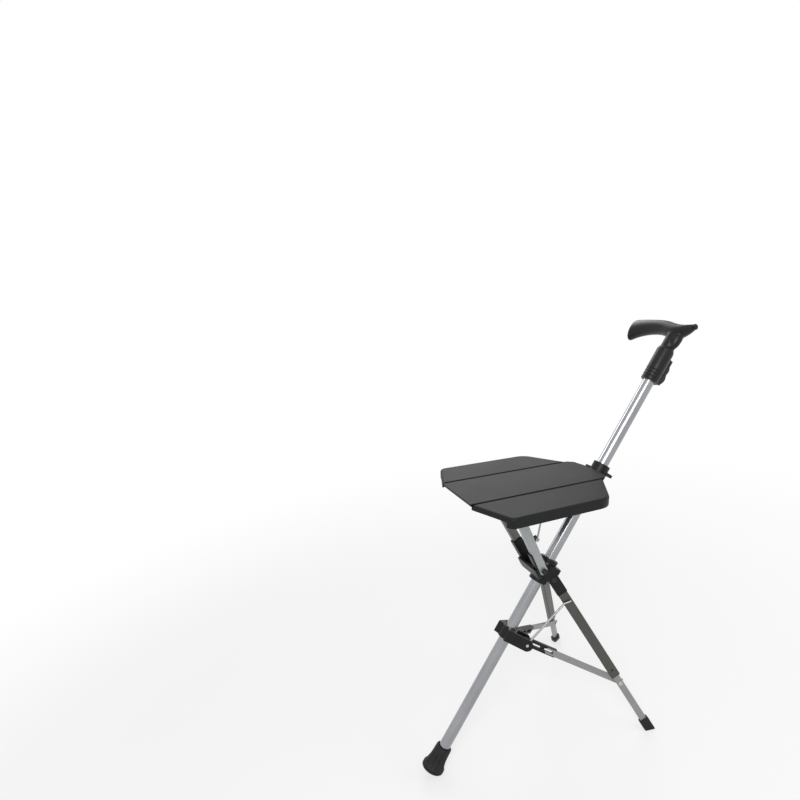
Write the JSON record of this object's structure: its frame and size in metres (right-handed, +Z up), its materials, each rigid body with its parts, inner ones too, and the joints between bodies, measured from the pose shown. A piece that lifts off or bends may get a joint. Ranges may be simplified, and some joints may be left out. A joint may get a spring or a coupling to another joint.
{
  "type": "walking stick seat",
  "caption": "Walking stick that opens into a three-footed seat: a leaning tube with a derby handle, two folding rear legs, and a boarded seat on folding front bars.",
  "frame": {"origin": "on the floor, in the middle of the flat that the stick's ferrule stands on", "axes": "+Z up, +X from the seat's front edge towards the handle, -Y towards the near leg; the seat is open"},
  "size_m": [0.6065, 0.3086, 0.6669],
  "materials": {
    "bare_aluminium": "satin anodised extrusion",
    "black_rubber": "matt moulded rubber",
    "hinge_plastic": "glass-filled nylon, slight sheen",
    "seat_plastic": "fine-textured moulded plastic",
    "grip_plastic": "satin moulded plastic",
    "pin_steel": "zinc-plated steel",
    "bracket_steel": "grey coated steel",
    "wire_steel": "drawn steel wire"
  },
  "bodies": {
    "stick": {"stick_tube": "bare_aluminium", "ferrule": "black_rubber", "hub": "hinge_plastic", "hub_ring": "hinge_plastic", "front_pin": "pin_steel", "leg_pin_near": "pin_steel", "leg_pin_far": "pin_steel", "grip_sleeve": "grip_plastic", "handle": "grip_plastic"},
    "trigger": {"release_trigger": "grip_plastic"},
    "front_frame": {"front_bar_near": "bare_aluminium", "front_bar_far": "bare_aluminium", "bar_shoe_near": "hinge_plastic", "bar_shoe_far": "hinge_plastic", "bar_yoke": "hinge_plastic", "top_rod": "pin_steel", "stay_bracket_near": "bracket_steel", "stay_bracket_far": "bracket_steel"},
    "seat_board": {"seat_middle": "seat_plastic", "seam_pins_near": "pin_steel", "seam_pins_far": "pin_steel", "front_bracket_near": "bracket_steel", "front_bracket_far": "bracket_steel", "rear_bracket_near": "bracket_steel", "rear_bracket_far": "bracket_steel"},
    "side_board_near": {"seat_side_near": "seat_plastic"},
    "side_board_far": {"seat_side_far": "seat_plastic"},
    "clip": {"clip_ring": "hinge_plastic", "clip_pin": "pin_steel"},
    "seat_stay_near": {"seat_stay_near": "wire_steel"},
    "seat_stay_far": {"seat_stay_far": "wire_steel"},
    "slider": {"slider": "hinge_plastic", "strut_pin_near": "pin_steel", "strut_pin_far": "pin_steel", "brace_pin_near": "pin_steel", "brace_pin_far": "pin_steel"},
    "leg_near": {"leg_knuckle_near": "hinge_plastic", "leg_tube_near": "bare_aluminium", "leg_lower_near": "bare_aluminium", "leg_rivet_near": "pin_steel", "leg_foot_near": "black_rubber"},
    "strut_near": {"strut_arm_near": "hinge_plastic", "strut_strap_near": "bracket_steel"},
    "brace_near": {"brace_rod_near": "wire_steel"},
    "leg_far": {"leg_knuckle_far": "hinge_plastic", "leg_tube_far": "bare_aluminium", "leg_lower_far": "bare_aluminium", "leg_rivet_far": "pin_steel", "leg_foot_far": "black_rubber"},
    "strut_far": {"strut_arm_far": "hinge_plastic", "strut_strap_far": "bracket_steel"},
    "brace_far": {"brace_rod_far": "wire_steel"}
  },
  "joints": [
    {"name": "seat_frame_fold", "type": "hinge", "parent": "stick", "child": "front_frame", "pos_m": [0.23545, 0, 0.32315], "axis": [0, 1, 0], "range_deg": [0, 60]},
    {"name": "seat_front_hinge", "type": "hinge", "parent": "front_frame", "child": "seat_board", "pos_m": [0.1865, 0, 0.47379], "axis": [0, -1, 0], "range_deg": [0, 116.52]},
    {"name": "clip_hinge", "type": "hinge", "parent": "seat_board", "child": "clip", "pos_m": [0.35226, 0, 0.44093], "axis": [0, 1, 0], "range_deg": [0, 56.52]},
    {"name": "side_board_hinge_near", "type": "hinge", "parent": "seat_board", "child": "side_board_near", "pos_m": [0.35483, -0.0505, 0.45814], "axis": [0.989, 0, -0.1478], "range_deg": [0, 90.02]},
    {"name": "side_board_hinge_far", "type": "hinge", "parent": "seat_board", "child": "side_board_far", "pos_m": [0.35483, 0.0505, 0.45814], "axis": [-0.989, 0, 0.1478], "range_deg": [0, 90.02]},
    {"name": "seat_stay_hinge_near", "type": "hinge", "parent": "front_frame", "child": "seat_stay_near", "pos_m": [0.22583, -0.03408, 0.38997], "axis": [0, -1, 0], "range_deg": [0, 38.29]},
    {"name": "seat_stay_hinge_far", "type": "hinge", "parent": "front_frame", "child": "seat_stay_far", "pos_m": [0.22583, 0.03408, 0.38997], "axis": [0, -1, 0], "range_deg": [0, 38.29]},
    {"name": "slider_slide", "type": "slide", "parent": "stick", "child": "slider", "axis": [0.6691, 0, 0.7431], "range_m": [0, 0.07809]},
    {"name": "leg_hinge_near", "type": "hinge", "parent": "stick", "child": "leg_near", "pos_m": [0.25827, -0.01655, 0.29223], "axis": [0.3281, 0.8973, -0.2954], "range_deg": [0, 61.72]},
    {"name": "strut_hinge_near", "type": "hinge", "parent": "slider", "child": "strut_near", "pos_m": [0.19046, -0.01523, 0.1918], "axis": [0.3281, 0.8973, -0.2954], "range_deg": [0, 98.13]},
    {"name": "brace_hinge_near", "type": "hinge", "parent": "slider", "child": "brace_near", "pos_m": [0.18518, -0.02968, 0.19656], "axis": [-0.3281, -0.8973, 0.2954], "range_deg": [0, 13.76]},
    {"name": "leg_hinge_far", "type": "hinge", "parent": "stick", "child": "leg_far", "pos_m": [0.25827, 0.01655, 0.29223], "axis": [-0.3281, 0.8973, 0.2954], "range_deg": [0, 61.72]},
    {"name": "strut_hinge_far", "type": "hinge", "parent": "slider", "child": "strut_far", "pos_m": [0.19046, 0.01523, 0.1918], "axis": [-0.3281, 0.8973, 0.2954], "range_deg": [0, 98.13]},
    {"name": "brace_hinge_far", "type": "hinge", "parent": "slider", "child": "brace_far", "pos_m": [0.18518, 0.02968, 0.19656], "axis": [0.3281, -0.8973, -0.2954], "range_deg": [0, 13.76]},
    {"name": "release_trigger_press", "type": "slide", "parent": "stick", "child": "trigger", "axis": [-0.7431, 0, 0.6691], "range_m": [0, 0.004], "stiffness_N_per_m": 900, "springref_m": -0.001}
  ],
  "couplings": [
    {"joint": "seat_front_hinge", "follows": "seat_frame_fold", "ratio": 1.9417},
    {"joint": "clip_hinge", "follows": "seat_frame_fold", "ratio": 0.94167},
    {"joint": "side_board_hinge_near", "follows": "seat_frame_fold", "ratio": 1.5},
    {"joint": "side_board_hinge_far", "follows": "seat_frame_fold", "ratio": 1.5},
    {"joint": "seat_stay_hinge_near", "follows": "seat_frame_fold", "ratio": 0.63777},
    {"joint": "seat_stay_hinge_far", "follows": "seat_frame_fold", "ratio": 0.63777},
    {"joint": "slider_slide", "follows": "seat_frame_fold", "m_per_rad": 0.074547},
    {"joint": "leg_hinge_near", "follows": "seat_frame_fold", "ratio": 1.0283},
    {"joint": "strut_hinge_near", "follows": "seat_frame_fold", "ratio": 1.6352},
    {"joint": "brace_hinge_near", "follows": "seat_frame_fold", "ratio": 0.229},
    {"joint": "leg_hinge_far", "follows": "seat_frame_fold", "ratio": 1.0283},
    {"joint": "strut_hinge_far", "follows": "seat_frame_fold", "ratio": 1.6352},
    {"joint": "brace_hinge_far", "follows": "seat_frame_fold", "ratio": 0.229}
  ]
}
